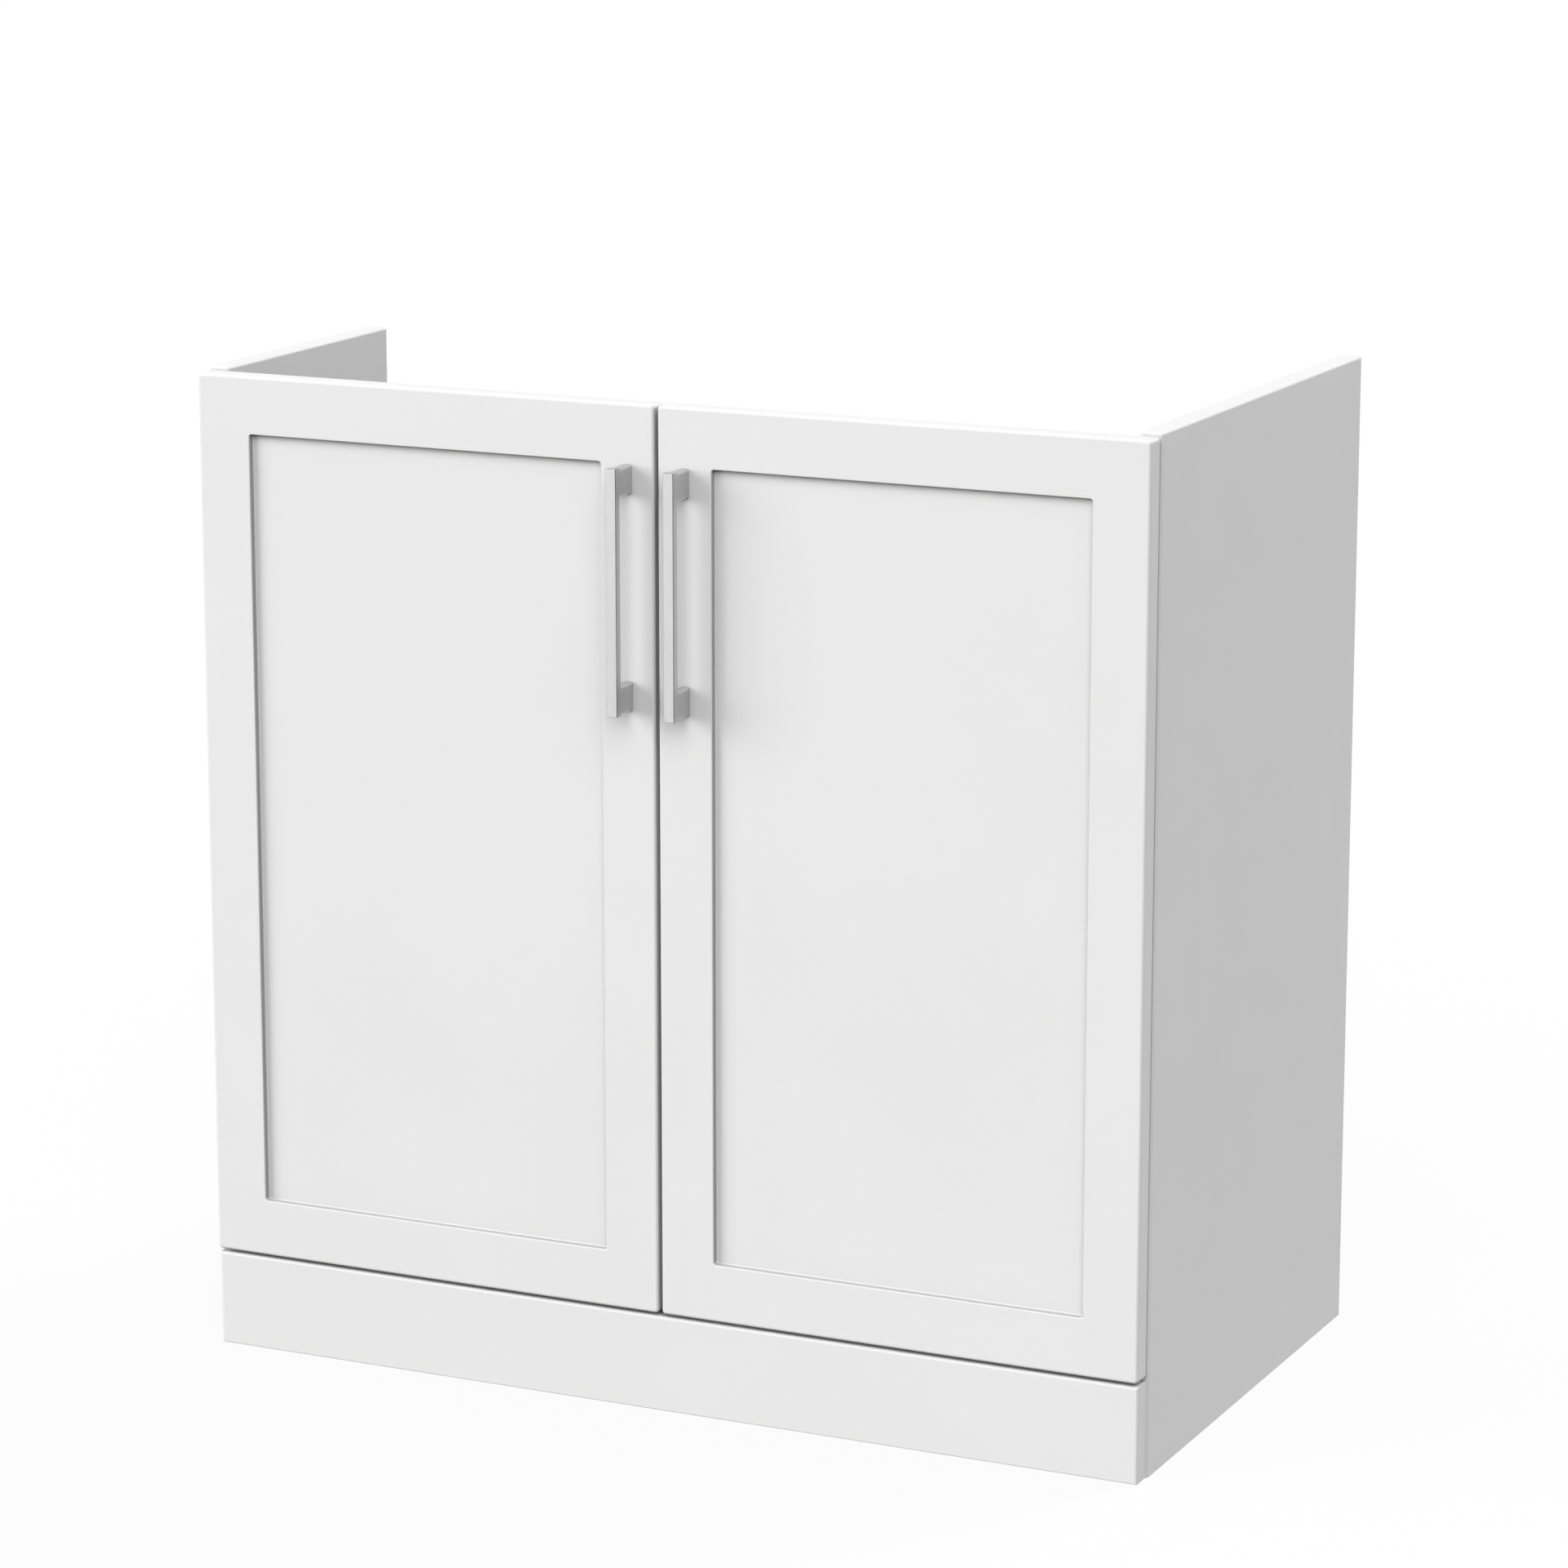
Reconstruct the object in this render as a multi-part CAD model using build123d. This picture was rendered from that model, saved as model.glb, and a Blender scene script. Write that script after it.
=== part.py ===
"""Sink base cabinet: open top, open back, two doors with sunk panels on cup hinges.

Millimetres, +Z up. The origin is at the middle of the whole object's footprint, on the floor.
The doors face -Y, and left is the -X side. Left-hand pieces are modelled and the
right-hand ones are their mirror images, so a size is written once. Only the left side panel
differs from its twin: its upper back corner is cut out for pipes.
"""
from build123d import *
import os

# ---- Cabinet ----------------------------------------------------------------------------
overall_width = 800.0
overall_height = 797.0
body_depth = 453.0            # doors' front face to the back of the side panels
board = 18.0                  # side panels, bottom and rails
edge_radius = 2.4             # rounding of every edge that shows
plinth_height = 77.0
plinth_thickness = 18.0
plinth_foot_radius = 1.0      # rounding where the plinth board meets the floor
front_inset = 1.3             # doors and plinth stop this far inside the side panels' faces
front_rail_height = 80.0
front_rail_setdown = 15.0     # rail's top edge below the side panels' top
back_rail_height = 100.0
back_rail_setdown = 100.0     # upper back rail's top edge below the side panels' top
pipe_cutout_start = 250.0     # left side panel's front edge to the cut-out in its back corner
pipe_cutout_radius = 12.0     # the cut-out's inner corner

# ---- Doors ------------------------------------------------------------------------------
door_thickness = 18.0
door_back_gap = 2.4           # air between a shut door and the cabinet's front edges
door_top_setdown = 3.0        # door's top edge below the side panels' top
door_plinth_gap = 3.0
door_middle_gap = 3.0
door_corner_radius = 3.0
door_back_radius = 1.2
stile_width = 45.0
door_rail_width = 46.0
recess_depth = 6.0
recess_corner_radius = 2.2
recess_edge_radius = 1.0      # rounding along the recess's rim and along its floor

# ---- Handles ----------------------------------------------------------------------------
handle_length = 190.0
handle_width = 8.2
handle_bar_depth = 7.0
handle_projection = 28.0
handle_leg = 23.0             # height of each leg
handle_bore_spacing = 160.0
handle_leg_radius = 2.5       # along each leg's four long edges
handle_foot_radius = 0.6      # round a leg's end on the door
handle_edge_radius = 0.4      # round the bar's front face
handle_screw_radius = 2.0
handle_screw_grip = 9.0       # screw length inside a leg
handle_head_radius = 4.0
handle_head_height = 2.4
head_pocket_clearance = 0.3

# ---- Hinges -----------------------------------------------------------------------------
hinge_end_distance = 125.0    # door's top or bottom edge to a cup's centre
cup_radius = 17.4
cup_wall = 0.8
cup_bore_depth = 13.0
cup_edge_wall = 3.0           # door left between a cup's bore and the door's outer edge
cup_clearance = 0.1
flange_thickness = 1.0
flange_screw_spacing = 48.0
flange_screw_offset = 6.0
flange_wing_width = 14.0
flange_wing_margin = 5.0
hinge_pin_radius = 1.25
hinge_pin_depth = 9.0         # door's front face to the pin's centre
hinge_pin_clearance = 0.05
knuckle_radius = 2.1
knuckle_width = 10.0
knuckle_clearance = 0.3
ear_thickness = 2.3
arm_thickness = 2.0
arm_panel_gap = 2.1           # arm's neck to the side panel's inner face
arm_bend_radius = 3.0
arm_neck_length = 6.0         # straight neck past the side panel's front edge
arm_ramp_length = 10.0
arm_flange_thickness = 1.2
plate_thickness = 2.0
plate_boss_height = 3.5
plate_boss_width = 9.0
plate_setback = 37.0          # side panel's front edge to the plate's screws
plate_screw_spacing = 32.0
plate_wing_width = 13.0
plate_wing_margin = 6.0
plate_bar_width = 14.0
plate_bar_front = 10.0        # plate's bar ahead of its screws
plate_bar_length = 46.0
arm_screw_distance = 18.0     # plate's screws to the screw that holds the arm
arm_screw_radius = 2.0
arm_screw_length = 6.0

# ---- Fasteners and small pieces ---------------------------------------------------------
wood_screw_radius = 1.75
wood_screw_length = 13.0      # inside the board
wood_screw_head_radius = 3.4
wood_screw_head_height = 1.8
screw_clearance = 0.05
cam_radius = 7.5
cam_below_bolt = 3.5          # cam's inner end past the bolt's axis
cam_floor_gap = 1.0           # cam's inner end to the floor of its bore
cam_distance = 34.0           # board's end to the cam's centre
cam_slot_width = 4.6
cam_hollow_radius = 4.2
cam_slot_height = 7.4
cam_key_width = 1.4
cam_key_length = 9.0
cam_key_depth = 2.0
bolt_thread_radius = 2.5
bolt_thread_length = 11.0
bolt_shaft_radius = 3.0
bolt_neck_radius = 2.0
bolt_head_radius = 3.2
bolt_head_length = 3.0
dowel_radius = 4.0
dowel_length = 30.0
dowel_in_side = 11.0
bore_clearance = 0.1
blind_end = 0.5               # a blind hole's depth past what sits in it
joint_pitch = 32.0            # cam to dowel
joint_end_distance = 60.0     # bottom panel's front or back edge to its cams
wall_hole_radius = 3.0
wall_hole_spacing = 600.0
bumper_radius = 4.0
bumper_height = 2.1
bumper_side_distance = 20.0   # door's inner edge to a bumper's centre
bumper_end_margin = 4.0       # a bumper's rim to the door's bottom edge
bumper_top_distance = 24.0
bracket_leg = 20.0
bracket_thickness = 1.5
bracket_width = 22.0
bracket_height = 28.0         # floor to the bracket's lower edge
bracket_bore_distance = 13.0  # bracket's corner to its screws

# ---- Places that follow from the sizes ---------------------------------------------------
overall_depth = body_depth + handle_projection
door_face = -overall_depth / 2 + handle_projection
door_back = door_face + door_thickness
carcass_front = door_back + door_back_gap
back = overall_depth / 2
side_outer = -overall_width / 2
side_inner = side_outer + board
bottom_top = plinth_height + board
door_outer = side_outer + front_inset
door_inner = -door_middle_gap / 2
door_bottom = plinth_height + door_plinth_gap
door_top = overall_height - door_top_setdown
front_rail_top = overall_height - front_rail_setdown
back_rail_top = overall_height - back_rail_setdown
handle_x = door_inner - stile_width / 2
handle_top = door_top - door_rail_width
handle_middle = handle_top - handle_length / 2
cup_bore_radius = cup_radius + cup_clearance
cup_x = door_outer + cup_edge_wall + cup_bore_radius
cup_floor = door_back - cup_bore_depth + cup_clearance
knuckle_reach = ((cup_radius - cup_wall - knuckle_clearance) ** 2 - (knuckle_width / 2) ** 2) ** 0.5
pin_x = cup_x - knuckle_reach + knuckle_radius
pin_y = door_face + hinge_pin_depth
pin_length = knuckle_width + 2 * (knuckle_clearance + ear_thickness)
plate_y = carcass_front + plate_setback
hinge_heights = (door_bottom + hinge_end_distance, door_top - hinge_end_distance)
cam_height = board / 2 + cam_below_bolt
cam_bore_depth = cam_height + cam_floor_gap


# ---- Helpers ----------------------------------------------------------------------------
def block(x, y, z):
    """A box between the low and high ends of each pair."""
    spans = [max(pair) - min(pair) for pair in (x, y, z)]
    return Pos(*[sum(pair) / 2 for pair in (x, y, z)]) * Box(*spans)


def around(middle, width):
    """The two ends of a span with a given middle."""
    return (middle - width / 2, middle + width / 2)


def rod(start, direction, radius, length):
    """A cylinder that leaves its start point along a direction."""
    base = Plane(origin=start, z_dir=direction)
    return base * Cylinder(radius, length, align=(Align.CENTER, Align.CENTER, Align.MIN))


def screw(seat, direction, radius, length, head_radius, head_height):
    """A screw whose head rests on the seat point and whose shaft follows the direction."""
    shaft = rod(seat, direction, radius, length)
    return shaft + rod(seat, -Vector(*direction), head_radius, head_height)


def opposite(shape):
    """The right-hand twin of a left-hand shape."""
    return mirror(shape, about=Plane.YZ)


def group(pieces):
    """One node that holds several separate solids."""
    return Compound([solid for piece in pieces for solid in piece.solids()])


def both_sides(pieces):
    return list(pieces) + [opposite(piece) for piece in pieces]


# ---- Boards -----------------------------------------------------------------------------
def make_side_panel():
    panel = block((side_outer, side_inner), (carcass_front, back), (0, overall_height))
    top = panel.edges().filter_by(Axis.Y).group_by(Axis.Z)[-1]
    top_front = panel.edges().filter_by(Axis.X).group_by(Axis.Z)[-1].sort_by(Axis.Y)[0:1]
    front = panel.edges().filter_by(Axis.Z).group_by(Axis.Y)[0]
    return fillet(top + top_front + front, edge_radius)


def make_pipe_cutout():
    """What the left side panel lacks: its back corner above the upper back rail."""
    corner = block(around((side_outer + side_inner) / 2, 2 * board),
                   (carcass_front + pipe_cutout_start, back + board),
                   (back_rail_top, overall_height + board))
    inner_edge = corner.edges().filter_by(Axis.X).sort_by(Axis.Y)[0:2].sort_by(Axis.Z)[0]
    return fillet(inner_edge, pipe_cutout_radius)


def make_cross_board(y, z):
    """A board that spans from side panel to side panel."""
    return block((side_inner, -side_inner), y, z)


def make_plinth():
    front = carcass_front - plinth_thickness
    plinth = block((door_outer, -door_outer), (front, carcass_front), (0, plinth_height))
    face = plinth.edges().group_by(Axis.Y)[0]
    top_and_ends = face.filter_by(Axis.Z) + face.filter_by(Axis.X).sort_by(Axis.Z)[-1:]
    plinth = fillet(top_and_ends, edge_radius)
    foot = plinth.faces().sort_by(Axis.Z)[0].edges().sort_by(Axis.Y)[:-1]
    return fillet(foot, plinth_foot_radius)


# ---- Joints between the boards ----------------------------------------------------------
def cam_joint(y, z, opens):
    """Bolt and cam at a board's left end: pieces, and what they need cut from each board.

    The cam's open face looks along opens, and y, z is the middle of the board's thickness.
    """
    seat = Plane(origin=(side_inner, y, z), x_dir=(1, 0, 0), z_dir=opens)
    along = (1, 0, 0)
    cam_middle = board / 2 - cam_height / 2
    neck_start = cam_distance - cam_radius
    head_start = cam_distance - bolt_head_length / 2
    cam = Pos(cam_distance, 0, cam_middle) * Cylinder(cam_radius, cam_height)
    cam -= Pos(cam_distance, 0, 0) * Cylinder(cam_hollow_radius, cam_slot_height)
    cam -= block((neck_start, cam_distance), around(0, cam_slot_width), around(0, cam_slot_height))
    for turn in (0, 90):
        key = Box(cam_key_length, cam_key_width, 2 * cam_key_depth)
        cam -= Pos(cam_distance, 0, board / 2) * Rot(0, 0, turn) * key
    bolt = rod((-bolt_thread_length, 0, 0), along, bolt_thread_radius, bolt_thread_length)
    bolt += rod((0, 0, 0), along, bolt_shaft_radius, neck_start - bore_clearance)
    bolt += rod((0, 0, 0), along, bolt_neck_radius, head_start)
    bolt += rod((head_start, 0, 0), along, bolt_head_radius, bolt_head_length)
    board_cut = rod((0, 0, 0), along, bolt_shaft_radius + bore_clearance, cam_distance)
    pocket = Cylinder(cam_radius + bore_clearance, cam_bore_depth)
    board_cut += Pos(cam_distance, 0, board / 2 - cam_bore_depth / 2) * pocket
    side_cut = rod((0, 0, 0), (-1, 0, 0), bolt_thread_radius + bore_clearance,
                   bolt_thread_length + blind_end)
    return [seat * shape for shape in (cam, bolt, board_cut, side_cut)]


def dowel_joint(y, z):
    """Wood dowel at a board's left end, with its hole in the board and in the side panel."""
    start = (side_inner, y, z)
    in_board = dowel_length - dowel_in_side
    dowel = rod((side_inner - dowel_in_side, y, z), (1, 0, 0), dowel_radius, dowel_length)
    hole_radius = dowel_radius + bore_clearance
    board_cut = rod(start, (1, 0, 0), hole_radius, in_board + blind_end)
    side_cut = rod(start, (-1, 0, 0), hole_radius, dowel_in_side + blind_end)
    return dowel, board_cut, side_cut


# ---- Doors and handles ------------------------------------------------------------------
def make_door():
    door = block((door_outer, door_inner), (door_face, door_back), (door_bottom, door_top))
    door = fillet(door.edges().filter_by(Axis.Y), door_corner_radius)
    door = fillet(door.faces().sort_by(Axis.Y)[0].edges(), edge_radius)
    door = fillet(door.faces().sort_by(Axis.Y)[-1].edges(), door_back_radius)
    recess = block((door_outer + stile_width, door_inner - stile_width),
                   (door_face - recess_depth, door_face + recess_depth),
                   (door_bottom + door_rail_width, door_top - door_rail_width))
    recess = fillet(recess.edges().filter_by(Axis.Y), recess_corner_radius)
    recess = fillet(recess.faces().sort_by(Axis.Y)[-1].edges(), recess_edge_radius)
    door -= recess
    rim = door.faces().sort_by(Axis.Y)[0].inner_wires()[0].edges()
    return fillet(rim, recess_edge_radius)


def make_handle():
    """A crisp square bar on two legs with rounded corners."""
    front = door_face - handle_projection
    x_span = around(handle_x, handle_width)
    z_ends = around(handle_middle, handle_length)
    handle = block(x_span, (front, front + handle_bar_depth), z_ends)
    for end, inward in zip(z_ends, (1, -1)):
        leg = block(x_span, (front + handle_bar_depth / 2, door_face), (end, end + inward * handle_leg))
        leg = fillet(leg.edges().filter_by(Axis.Y), handle_leg_radius)
        handle += fillet(leg.faces().sort_by(Axis.Y)[-1].edges(), handle_foot_radius)
    return fillet(handle.faces().sort_by(Axis.Y)[0].edges(), handle_edge_radius)


def handle_screw(z):
    """A handle's screw, and what it needs cut from the handle and from the door."""
    seat_y = door_back - handle_head_height - head_pocket_clearance
    length = seat_y - door_face + handle_screw_grip
    seat = (handle_x, seat_y, z)
    piece = screw(seat, (0, -1, 0), handle_screw_radius, length,
                  handle_head_radius, handle_head_height)
    shank = rod(seat, (0, -1, 0), handle_screw_radius + screw_clearance, length + blind_end)
    pocket = rod(seat, (0, 1, 0), handle_head_radius + head_pocket_clearance, door_thickness)
    return piece, shank, shank + pocket


def make_bumper(z):
    x = door_inner - bumper_side_distance
    return rod((x, door_back, z), (0, 1, 0), bumper_radius, bumper_height)


# ---- Hinges -----------------------------------------------------------------------------
def flange_screw_places(z):
    x = cup_x + flange_screw_offset
    return [(x, door_back, height) for height in around(z, flange_screw_spacing)]


def make_hinge_cup(z):
    """Cup with a screw flange, and two ears inside it that carry the pin's ends."""
    into_cabinet = (0, 1, 0)
    rim = door_back + flange_thickness
    outside = rod((cup_x, cup_floor, z), into_cabinet, cup_radius, rim - cup_floor)
    wing = block(around(cup_x + flange_screw_offset, flange_wing_width), (door_back, rim),
                 around(z, flange_screw_spacing + 2 * flange_wing_margin))
    wing = fillet(wing.edges().filter_by(Axis.Y), flange_wing_margin)
    hollow = rod((cup_x, cup_floor + cup_wall, z), into_cabinet, cup_radius - cup_wall, door_thickness)
    cup = outside + wing - hollow
    for side in (-1, 1):
        inner = z + side * (knuckle_width / 2 + knuckle_clearance)
        ear = block((pin_x - cup_radius, pin_x + 2 * knuckle_radius), (cup_floor, pin_y),
                    (inner, inner + side * ear_thickness))
        ear += block((pin_x - cup_radius, pin_x + knuckle_radius), (cup_floor, pin_y + knuckle_radius),
                     (inner, inner + side * ear_thickness))
        cup += ear & outside
    bore_length = pin_length + 2 * hinge_pin_clearance
    cup -= rod((pin_x, pin_y, z - bore_length / 2), (0, 0, 1),
               hinge_pin_radius + hinge_pin_clearance, bore_length)
    for place in flange_screw_places(z):
        cup -= rod(place, into_cabinet, wood_screw_radius + screw_clearance, door_thickness)
    return cup


def make_hinge_arm(z):
    """Bent arm: knuckle on the pin, neck round the side panel's edge, channel on the plate."""
    neck_x = side_inner + arm_panel_gap + arm_thickness / 2
    web_x = side_inner + plate_thickness + plate_boss_height + arm_thickness / 2
    ramp_start = carcass_front + arm_neck_length
    ramp_end = ramp_start + arm_ramp_length
    arm_end = plate_y - plate_bar_front + plate_bar_length
    path = FilletPolyline((pin_x, pin_y), (neck_x, pin_y), (neck_x, ramp_start), (web_x, ramp_end),
                          (web_x, arm_end), radius=arm_bend_radius)
    strip = extrude(trace(path, arm_thickness), knuckle_width)
    arm = Pos(0, 0, z - knuckle_width / 2) * strip
    arm += rod((pin_x, pin_y, z - knuckle_width / 2), (0, 0, 1), knuckle_radius, knuckle_width)
    for side in (-1, 1):
        inner = z + side * knuckle_width / 2
        arm += block((side_inner + plate_thickness + arm_flange_thickness, web_x + arm_thickness / 2),
                     (ramp_end, arm_end), (inner, inner + side * arm_flange_thickness))
    arm -= rod((pin_x, pin_y, z - knuckle_width), (0, 0, 1), hinge_pin_radius, 2 * knuckle_width)
    arm -= rod((side_inner, plate_y + arm_screw_distance, z), (1, 0, 0),
               arm_screw_radius + screw_clearance, board)
    return arm


def plate_screw_places(z):
    return [(side_inner + plate_thickness, plate_y, height) for height in around(z, plate_screw_spacing)]


def make_hinge_plate(z):
    face = (side_inner, side_inner + plate_thickness)
    bar_start = plate_y - plate_bar_front
    wings = block(face, around(plate_y, plate_wing_width),
                  around(z, plate_screw_spacing + 2 * plate_wing_margin))
    wings = fillet(wings.edges().filter_by(Axis.X), plate_wing_margin)
    bar_span = (bar_start, bar_start + plate_bar_length)
    plate = wings + block(face, bar_span, around(z, plate_bar_width))
    plate += block((side_inner, side_inner + plate_thickness + plate_boss_height), bar_span,
                   around(z, plate_boss_width))
    plate -= rod((side_inner, plate_y + arm_screw_distance, z), (1, 0, 0),
                 arm_screw_radius + screw_clearance, board)
    for place in plate_screw_places(z):
        plate -= rod(place, (-1, 0, 0), wood_screw_radius + screw_clearance, board)
    return plate


def make_arm_screw(z):
    seat_x = side_inner + plate_thickness + plate_boss_height + arm_thickness
    return screw((seat_x, plate_y + arm_screw_distance, z), (-1, 0, 0), arm_screw_radius,
                 arm_screw_length, wood_screw_head_radius, wood_screw_head_height)


def make_hinge_pin(z):
    return rod((pin_x, pin_y, z - pin_length / 2), (0, 0, 1), hinge_pin_radius, pin_length)


def wood_screw(face_point, direction, sheet):
    """A wood screw through a metal sheet on a board, and its hole in the board."""
    step = Vector(*direction)
    seat = Vector(*face_point) - step * sheet
    piece = screw(seat, direction, wood_screw_radius, wood_screw_length + sheet,
                  wood_screw_head_radius, wood_screw_head_height)
    hole = rod(face_point, direction, wood_screw_radius + screw_clearance,
               wood_screw_length + blind_end)
    return piece, hole


# ---- Plinth brackets --------------------------------------------------------------------
bracket_middle = bracket_height + bracket_width / 2
side_bore = (side_inner, carcass_front + bracket_bore_distance, bracket_middle)
plinth_bore = (side_inner + bracket_bore_distance, carcass_front, bracket_middle)


def make_plinth_bracket():
    """Angle bracket in the corner between the plinth's back and the side panel."""
    z = around(bracket_middle, bracket_width)
    on_side = block((side_inner, side_inner + bracket_thickness),
                    (carcass_front, carcass_front + bracket_leg), z)
    on_plinth = block((side_inner, side_inner + bracket_leg),
                      (carcass_front, carcass_front + bracket_thickness), z)
    bracket = on_side + on_plinth
    bracket -= rod(side_bore, (1, 0, 0), wood_screw_radius + screw_clearance, bracket_leg)
    return bracket - rod(plinth_bore, (0, 1, 0), wood_screw_radius + screw_clearance, bracket_leg)


# ---- The model --------------------------------------------------------------------------
nodes = {}
side_panel = make_side_panel()
door = make_door()
handle = make_handle()
plinth = make_plinth()

back_rail_y = (back - board, back)
boards = {
    "bottom_panel": make_cross_board((carcass_front, back), (plinth_height, bottom_top)),
    "front_rail": make_cross_board((carcass_front, carcass_front + board),
                                   (front_rail_top - front_rail_height, front_rail_top)),
    "back_rail_upper": make_cross_board(back_rail_y, (back_rail_top - back_rail_height, back_rail_top)),
    "back_rail_lower": make_cross_board(back_rail_y, (bottom_top, bottom_top + back_rail_height)),
}

# Each joint: board, cam's y and z, dowel's y and z, and where the cam opens to.
bottom_middle = plinth_height + board / 2
front_rail_y = carcass_front + board / 2
front_rail_middle = front_rail_top - front_rail_height / 2
joints = [
    ("bottom_panel", (carcass_front + joint_end_distance, bottom_middle),
     (carcass_front + joint_end_distance + joint_pitch, bottom_middle), (0, 0, -1)),
    ("bottom_panel", (back - joint_end_distance, bottom_middle),
     (back - joint_end_distance - joint_pitch, bottom_middle), (0, 0, -1)),
    ("front_rail", (front_rail_y, front_rail_middle - joint_pitch / 2),
     (front_rail_y, front_rail_middle + joint_pitch / 2), (0, 1, 0)),
]
for name, top in (("back_rail_upper", back_rail_top),
                  ("back_rail_lower", bottom_top + back_rail_height)):
    middle = top - back_rail_height / 2
    joints.append((name, (back - board / 2, middle - joint_pitch / 2),
                   (back - board / 2, middle + joint_pitch / 2), (0, -1, 0)))

fittings = {"bottom": {"cams": [], "bolts": [], "dowels": []},
            "rail": {"cams": [], "bolts": [], "dowels": []}}
for name, cam_place, dowel_place, opens in joints:
    cam, bolt, cam_cut, bolt_hole = cam_joint(*cam_place, opens)
    dowel, dowel_cut, dowel_hole = dowel_joint(*dowel_place)
    for cut in both_sides([cam_cut, dowel_cut]):
        boards[name] -= cut
    side_panel -= bolt_hole + dowel_hole
    kind = fittings["bottom" if name == "bottom_panel" else "rail"]
    kind["cams"].append(cam)
    kind["bolts"].append(bolt)
    kind["dowels"].append(dowel)

for x in around(0, wall_hole_spacing):
    boards["back_rail_upper"] -= rod((x, back - 2 * board, back_rail_top - back_rail_height / 2),
                                     (0, 1, 0), wall_hole_radius, 4 * board)

# Hinges on the left side, then their right-hand twins.
plate_screws = []
cup_screws = []
for place, z in zip(("lower", "upper"), hinge_heights):
    door -= rod((cup_x, door_back, z), (0, -1, 0), cup_bore_radius, cup_bore_depth)
    for x, y, height in flange_screw_places(z):
        piece, hole = wood_screw((x, y, height), (0, -1, 0), flange_thickness)
        door -= hole
        cup_screws.append(piece)
    for x, y, height in plate_screw_places(z):
        piece, hole = wood_screw((side_inner, y, height), (-1, 0, 0), plate_thickness)
        side_panel -= hole
        plate_screws.append(piece)
    hinge_pieces = {"hinge_cup": make_hinge_cup(z), "hinge_arm": make_hinge_arm(z),
                    "hinge_plate": make_hinge_plate(z), "hinge_pin": make_hinge_pin(z)}
    for name, piece in hinge_pieces.items():
        nodes[f"{name}_left_{place}"] = piece
        nodes[f"{name}_right_{place}"] = opposite(piece)

# Plinth brackets and their screws.
bracket = make_plinth_bracket()
side_bracket_screw, side_hole = wood_screw(side_bore, (-1, 0, 0), bracket_thickness)
plinth_bracket_screw, plinth_hole = wood_screw(plinth_bore, (0, -1, 0), bracket_thickness)
side_panel -= side_hole
for hole in both_sides([plinth_hole]):
    plinth -= hole

# Handle screws pass through the door from pockets in its back.
handle_screws = []
for z in around(handle_middle, handle_bore_spacing):
    piece, handle_cut, door_cut = handle_screw(z)
    handle -= handle_cut
    door -= door_cut
    handle_screws.append(piece)

bumpers = [make_bumper(door_bottom + bumper_end_margin + bumper_radius),
           make_bumper(door_top - bumper_top_distance)]

nodes["plinth_board"] = plinth
nodes.update(boards)
for kind, pieces in fittings.items():
    nodes[f"cam_locks_{kind}"] = group(both_sides(pieces["cams"]))
    nodes[f"cam_bolts_{kind}"] = group(both_sides(pieces["bolts"]))
    nodes[f"wood_dowels_{kind}"] = group(both_sides(pieces["dowels"]))
nodes["plinth_bracket_screws"] = group(both_sides([side_bracket_screw, plinth_bracket_screw]))
nodes["side_panel_left"] = side_panel - make_pipe_cutout()
nodes["side_panel_right"] = opposite(side_panel)
sided = {
    "door": door,
    "handle": handle,
    "handle_screws": group(handle_screws),
    "door_bumpers": group(bumpers),
    "hinge_cup_screws": group(cup_screws),
    "hinge_plate_screws": group(plate_screws),
    "hinge_arm_screws": group([make_arm_screw(z) for z in hinge_heights]),
    "plinth_bracket": bracket,
}
for name, piece in sided.items():
    nodes[f"{name}_left"] = piece
    nodes[f"{name}_right"] = opposite(piece)

os.makedirs("parts", exist_ok=True)
for name, shape in nodes.items():
    export_step(shape, f"parts/{name}.step")
print(len(nodes), "nodes; hinge axis at x", round(pin_x, 3), "y", round(pin_y, 3))
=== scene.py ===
"""Looks of the sink base cabinet: its finishes, detailed small hardware, light and camera.

Everything is in metres in the cabinet's own frame: the doors face -Y, +Z is up and the floor is
at z = 0. What carries the shape comes from the frame; this script gives it its surfaces.
"""
import math
from functools import partial

import bmesh
import bpy
from mathutils import Matrix, Vector


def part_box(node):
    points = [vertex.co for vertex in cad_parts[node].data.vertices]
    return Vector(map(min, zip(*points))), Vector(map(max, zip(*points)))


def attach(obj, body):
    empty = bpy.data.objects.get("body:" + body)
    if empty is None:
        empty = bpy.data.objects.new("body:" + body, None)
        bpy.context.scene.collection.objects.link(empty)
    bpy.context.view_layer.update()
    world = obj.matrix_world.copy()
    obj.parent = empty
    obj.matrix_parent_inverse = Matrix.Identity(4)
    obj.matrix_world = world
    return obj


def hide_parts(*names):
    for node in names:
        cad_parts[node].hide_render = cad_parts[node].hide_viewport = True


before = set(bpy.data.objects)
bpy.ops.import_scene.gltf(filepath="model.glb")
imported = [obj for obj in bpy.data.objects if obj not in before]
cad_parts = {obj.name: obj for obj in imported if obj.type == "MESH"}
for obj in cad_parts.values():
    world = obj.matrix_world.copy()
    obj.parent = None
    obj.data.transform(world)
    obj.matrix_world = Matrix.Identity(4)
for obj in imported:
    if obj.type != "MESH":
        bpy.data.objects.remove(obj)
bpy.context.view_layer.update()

MM = 0.001
SIDES = ("left", "right")

# ---- Camera: fitted to the photograph's edges ----------------------------------------------
CAMERA_PLACE = (1.7876, -3.7946, 1.4015)
CAMERA_AZIMUTH = 25.138
CAMERA_ELEVATION = 12.654
CAMERA_LENS = 123.65           # this and the sensor's width are in mm
CAMERA_SENSOR = 36.0

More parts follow.
